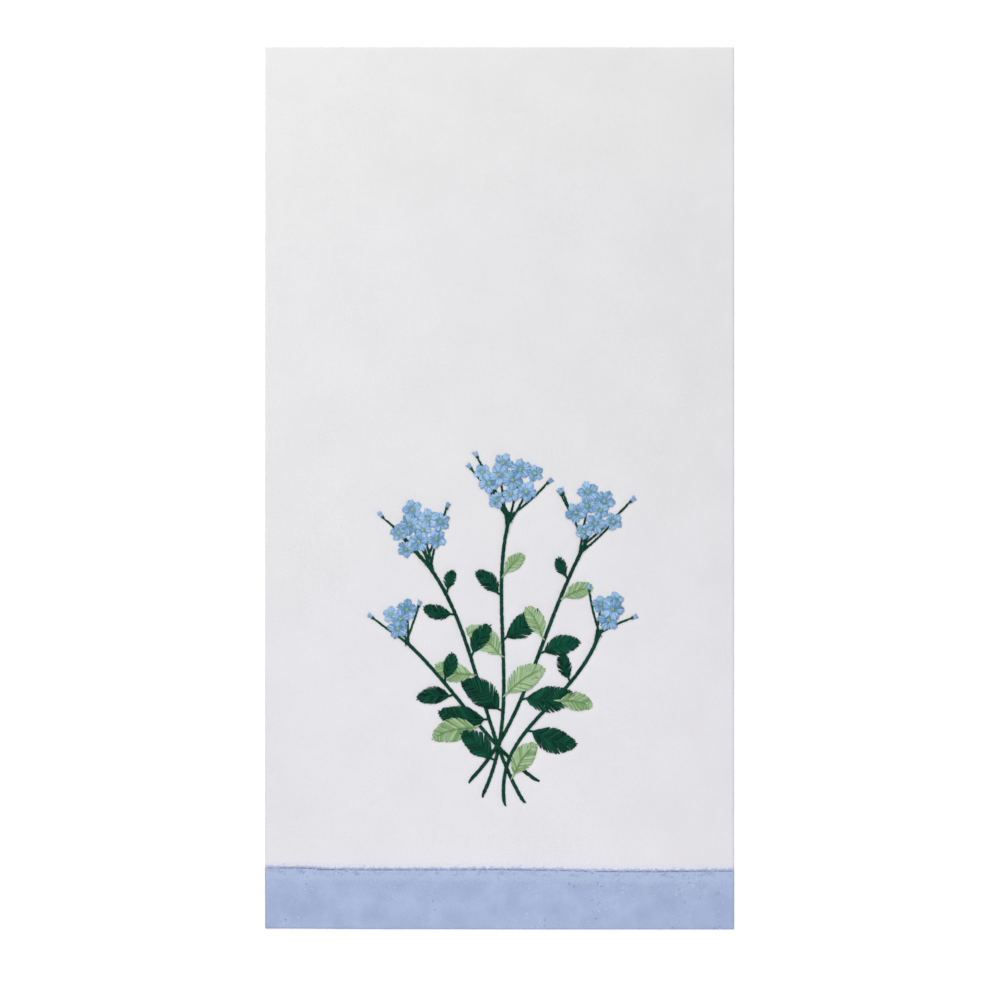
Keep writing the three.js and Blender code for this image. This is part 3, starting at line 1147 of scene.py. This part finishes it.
bases = CLOTH_THICKNESS + swell_under(stitches) - PRESS + under * MM
for piece in dict.fromkeys(row[0] for row in stitches):
    chosen = [i for i, row in enumerate(stitches) if row[0] == piece]
    points = stitch_points(piece, [stitches[i] for i in chosen], bases[chosen])
    made = run_tree(piece, points, lay_stitches, {
        "Segments": 6, "Sides": 6, "Flatness": THREAD_FLATNESS,
        "Arch": THREAD_ARCH, "Thread": THREADS[thread_of(piece)],
    })
    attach(made, "root")
    print(piece, len(chosen), "stitches,", len(made.data.polygons), "faces")

# %% [markdown]
# ### The cloth under the stitches
# Tight stitches pull the pile down, so the cloth dips under the embroidery and rises softly beside it.

# %% Press the pile
PRESS_REACH = (0.6 * MM, 4.5 * MM)
PRESS_DEPTH = 1.3 * PRESS
PLACE_HALF_WIDTH = 130 * MM
PLACE_LOW = -290 * MM
PLACE_HIGH = 60 * MM


def is_sewn_face(point):
    """Whether a point of the cloth lies on its face, in or near the embroidered place."""
    inside = abs(point.x) < PLACE_HALF_WIDTH and PLACE_LOW < point.y < PLACE_HIGH
    return inside and point.z > CLOTH_THICKNESS / 2


tree_of_stitches = kdtree.KDTree(2 * len(stitches))
for i, row in enumerate(stitches):
    tree_of_stitches.insert((row[2] * MM, row[3] * MM, 0), 2 * i)
    tree_of_stitches.insert((row[4] * MM, row[5] * MM, 0), 2 * i + 1)
tree_of_stitches.balance()
pressed = 0
for vertex in towel_body.data.vertices:
    if is_sewn_face(vertex.co):
        away = tree_of_stitches.find((vertex.co.x, vertex.co.y, 0))[2]
        share = 1 - float(smoothstep(away, *PRESS_REACH))
        vertex.co.z -= PRESS_DEPTH * share
        pressed += share > 0
print("pressed", pressed, "points of the cloth")

# %% [markdown]
# ## Loose pile
# Shearing and sewing leave loose pile behind: tufts beside and across the seam, flecks that stand up from
# the band, and a thin fringe along the cut edges. Tufts and flecks are short threads, so the stitch tree lays
# them too. A fibre is far finer than a pixel, so each is drawn about 0.2 mm wide and stands for a few.

# %% Tufts beside the seam
TUFTS = {"white": 110, "blue": 170}
TUFT_ROOTS = {"white": (0.2, 1.6), "blue": (1.2, 5.5)}
FIBRES_EACH = (6, 10)
FIBRE_WIDTH = (0.14, 0.26)
FIBRE_SCATTER = 0.3
FIBRE_LENGTHS = (0.6, 1.1)
FIBRE_FAN = 0.55
FIBRE_TILT = (0.0, 0.15)
FIBRE_SHADES = 0.4
FIBRE_FLATNESS = 0.45
FIBRE_ARCH = 0.8
TUFT_LEAN = 0.4
TUFT_LENGTH = (1.4, 2.8)
TUFT_SHADES = (-0.1, 1.3)
TUFT_SPREAD = 1.0
PILE_LIMIT = 201
GROOVE_HEIGHT = 2.6 * MM
lint = random.Random(SEED + 1)


def seam_line(across):
    """How far along the towel the seam lies, in millimetres."""
    return (SEAM_Y + float(wander(SEAM_WANDER, np.array(across * MM)))) / MM


def tuft(dye, root, heading, length, spread, shade):
    """A tuft is a bundle of fine fibres that rise from one root and fan out."""
    rows = []
    for _ in range(lint.randint(*FIBRES_EACH)):
        start = root + Vector((lint.gauss(0, spread), lint.gauss(0, FIBRE_SCATTER)))
        reach = length * lint.uniform(*FIBRE_LENGTHS)
        tilt = lint.uniform(*FIBRE_TILT)
        end = start + polar(lint.gauss(heading, FIBRE_FAN), reach)
        tone = shade + lint.uniform(-FIBRE_SHADES, FIBRE_SHADES)
        lift = reach / 2 * math.sin(tilt)
        rows.append((dye, 0, *start, *end, lint.uniform(*FIBRE_WIDTH), tone, lift, tilt))
    return rows


def seam_tufts(dye, side):
    """Tufts that lean over the seam from one side of it, 1 for above and -1 for below."""
    rows = []
    for _ in range(TUFTS[dye]):
        x = lint.uniform(-PILE_LIMIT, PILE_LIMIT)
        place = Vector((x, seam_line(x) + side * lint.uniform(*TUFT_ROOTS[dye])))
        heading = lint.gauss(-side * TURN / 4, TUFT_LEAN)
        length = lint.uniform(*TUFT_LENGTH)
        rows += tuft(dye, place, heading, length, TUFT_SPREAD, lint.uniform(*TUFT_SHADES))
    return rows


print("tufts beside the seam:", TUFTS)

# %% [markdown]
# ### Flecks
# Flecks lie in clusters, close to the seam more often than far from it, and most of them to the right.

# %% Flecks on the band
# From and to across the band in millimetres, and how many clusters lie there
FLECK_ZONES = [(-198, -70, 4), (-70, 60, 7), (60, 140, 15), (140, 198, 20)]
FLECKS_EACH = (2, 8)
CLUSTER_SPREAD = (4.5, 6.5)
CLUSTER_CROWDING = 1.5
FLECK_LEAN = 0.9
FLECK_LENGTH = (1.0, 2.0)
FLECK_SPREAD = 0.25
HIGHLIGHT_SHADES = (0.6, 1.2)
SHADOW_SHADES = (-1, -0.3)
SHADOW_SHARE = 0.35
SHADOW_ASIDE = 0.9
BAND_MM = BAND_DEPTH / MM
FIRST_FLECK = 1.5
LAST_FLECK = BAND_MM - 2


def band_flecks():
    """Pale tufts in clusters as painted highlight, some with a dark one beside them as painted shadow."""
    rows = []
    clusters = [zone for zone in FLECK_ZONES for _ in range(zone[2])]
    for zone in clusters:
        cluster_x = lint.uniform(zone[0], zone[1])
        cluster_y = 2 + (BAND_MM - 5) * lint.random() ** CLUSTER_CROWDING
        for _ in range(lint.randint(*FLECKS_EACH)):
            x = min(max(cluster_x + lint.gauss(0, CLUSTER_SPREAD[0]), -PILE_LIMIT), PILE_LIMIT)
            along = min(max(cluster_y + lint.gauss(0, CLUSTER_SPREAD[1]), FIRST_FLECK), LAST_FLECK)
            place = Vector((x, seam_line(x) - along))
            heading = lint.gauss(TURN / 4, FLECK_LEAN)
            length = lint.uniform(*FLECK_LENGTH)
            rows += tuft("blue", place, heading, length, FLECK_SPREAD, lint.uniform(*HIGHLIGHT_SHADES))
            if lint.random() < SHADOW_SHARE:
                beside = place + polar(heading + TURN / 4, SHADOW_ASIDE)
                rows += tuft("blue", beside, heading, length, FLECK_SPREAD, lint.uniform(*SHADOW_SHADES))
    return rows


print("clusters of flecks:", sum(zone[2] for zone in FLECK_ZONES))

# %% [markdown]
# ### Laying the loose pile
# Loose fibres are the cloth's own cotton. They stand free and catch more light than the pile around them, so
# their colours are paler than the cloth's: a painted highlight. Dark tufts here and there are painted shadow.

# %% Lay the tufts and flecks
# Pale ends lighter than the cloth paint a highlight on the fibres; the deep blue end paints the shadow flecks
PILE = {
    "white": cotton_thread("loose white pile", "C0CCEC", "F2F6FF", 0),
    "blue": cotton_thread("loose blue pile", "94A4CE", "DFECFF", 0),
}
loose_pile = {"white": [], "blue": []}


def keep(made, dye):
    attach(made, "root")
    loose_pile[dye].append(made)
    print(made.name, len(made.data.polygons), "faces")


for name, dye, rows, height in (
    ("white_seam_tufts", "white", seam_tufts("white", 1), GROOVE_HEIGHT),
    ("blue_seam_tufts", "blue", seam_tufts("blue", -1), CLOTH_THICKNESS + SEAM_RIDGE),
    ("band_flecks", "blue", band_flecks(), CLOTH_THICKNESS),
):
    points = stitch_points(name, rows, height + swell_under(rows))
    keep(run_tree(name, points, lay_stitches, {
        "Segments": 4, "Sides": 3, "Flatness": FIBRE_FLATNESS, "Arch": FIBRE_ARCH, "Thread": PILE[dye],
    }), dye)

# %% [markdown]
# ### A fringe along the edges
# A second tree sows fibres over the cloth wherever its mark called loose says so. It scatters points on the
# faces, sets a thin cone on each, and tilts it at random from the face's own direction.

# %% Fringe tree
FRINGE_TILT = 0.7
FRINGE_DENSITY = 2.6e6
FRINGE_LENGTH = 1.1 * MM
FRINGE_WIDTH = 0.09 * MM
LENGTH_SHARES = (0.5, 1.4)
UPWARD = 0.3


def fringe_tree():
    """Sows tilted fibres on the upper side of a cloth, as thick as its mark called loose says."""
    tree, given = new_tree("sow_fringe", {
        "Cloth": "Geometry", "Density": "Float", "Seed": "Int",
        "Length": "Float", "Thickness": "Float", "Fibre": "Material",
    }, "Fringe")
    loose = add_node(tree, "GeometryNodeInputNamedAttribute", {"Name": "loose"}, data_type="FLOAT")
    facing = add_node(tree, "ShaderNodeSeparateXYZ", {0: add_node(tree, "GeometryNodeInputNormal")})
    upward = add_node(tree, "ShaderNodeMapRange", {
        "Value": facing.outputs["Z"], "From Min": 0.0, "From Max": UPWARD,
    })
    upper = add_node(tree, "ShaderNodeMath", {0: loose, 1: upward}, operation="MULTIPLY")
    density = add_node(tree, "ShaderNodeMath", {0: upper, 1: given["Density"]}, operation="MULTIPLY")
    spots = add_node(tree, "GeometryNodeDistributePointsOnFaces", {
        "Mesh": given["Cloth"], "Density": density, "Seed": given["Seed"],
    })
    shade = add_node(tree, "FunctionNodeRandomValue", {2: -1.0, 3: 1.0, "Seed": 1})
    named = add_node(tree, "GeometryNodeStoreNamedAttribute", {
        "Geometry": spots.outputs["Points"], "Name": "shade", "Value": shade.outputs[1],
    }, data_type="FLOAT", domain="POINT")
    tilt = add_node(tree, "FunctionNodeRandomValue", {
        0: (-FRINGE_TILT, -FRINGE_TILT, 0.0), 1: (FRINGE_TILT, FRINGE_TILT, TURN), "Seed": 2,
    }, data_type="FLOAT_VECTOR")
    tilted = add_node(tree, "FunctionNodeEulerToRotation", {"Euler": tilt})
    turned = add_node(tree, "FunctionNodeRotateRotation", {
        "Rotation": spots.outputs["Rotation"], "Rotate By": tilted,
    }, rotation_space="LOCAL")
    stretch = add_node(tree, "FunctionNodeRandomValue", {2: LENGTH_SHARES[0], 3: LENGTH_SHARES[1], "Seed": 3})
    long = add_node(tree, "ShaderNodeMath", {0: stretch.outputs[1], 1: given["Length"]}, operation="MULTIPLY")
    size = add_node(tree, "ShaderNodeCombineXYZ", {
        "X": given["Thickness"], "Y": given["Thickness"], "Z": long,
    })
    fibre = add_node(tree, "GeometryNodeMeshCone", {
        "Vertices": 3, "Side Segments": 1, "Fill Segments": 1,
        "Radius Top": 0.15, "Radius Bottom": 0.5, "Depth": 1.0,
    })
    sown = add_node(tree, "GeometryNodeInstanceOnPoints", {
        "Points": named, "Instance": fibre.outputs["Mesh"],
        "Rotation": turned, "Scale": size,
    })
    real = add_node(tree, "GeometryNodeRealizeInstances", {"Geometry": sown})
    dyed = add_node(tree, "GeometryNodeSetMaterial", {"Geometry": real, "Material": given["Fibre"]})
    add_node(tree, "NodeGroupOutput", {0: dyed})
    return tree


sow_fringe = fringe_tree()
for name, dye, cloth in (("white_fringe", "white", towel_body), ("blue_fringe", "blue", border_band)):
    keep(run_tree(name, cloth.data.copy(), sow_fringe, {
        "Density": FRINGE_DENSITY, "Seed": SEED, "Length": FRINGE_LENGTH,
        "Thickness": FRINGE_WIDTH, "Fibre": PILE[dye],
    }), dye)

# %% [markdown]
# ## Into the frame
# Both cloths take the place of the solids they were built after, and everything rides on the one body.

# %% Hand the pieces to the frame
for piece, node, slot in (
    (towel_body, "towel_body", "white_velour"),
    (border_band, "border_band", "blue_velour"),
):
    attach(piece, "root")
    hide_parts(node)
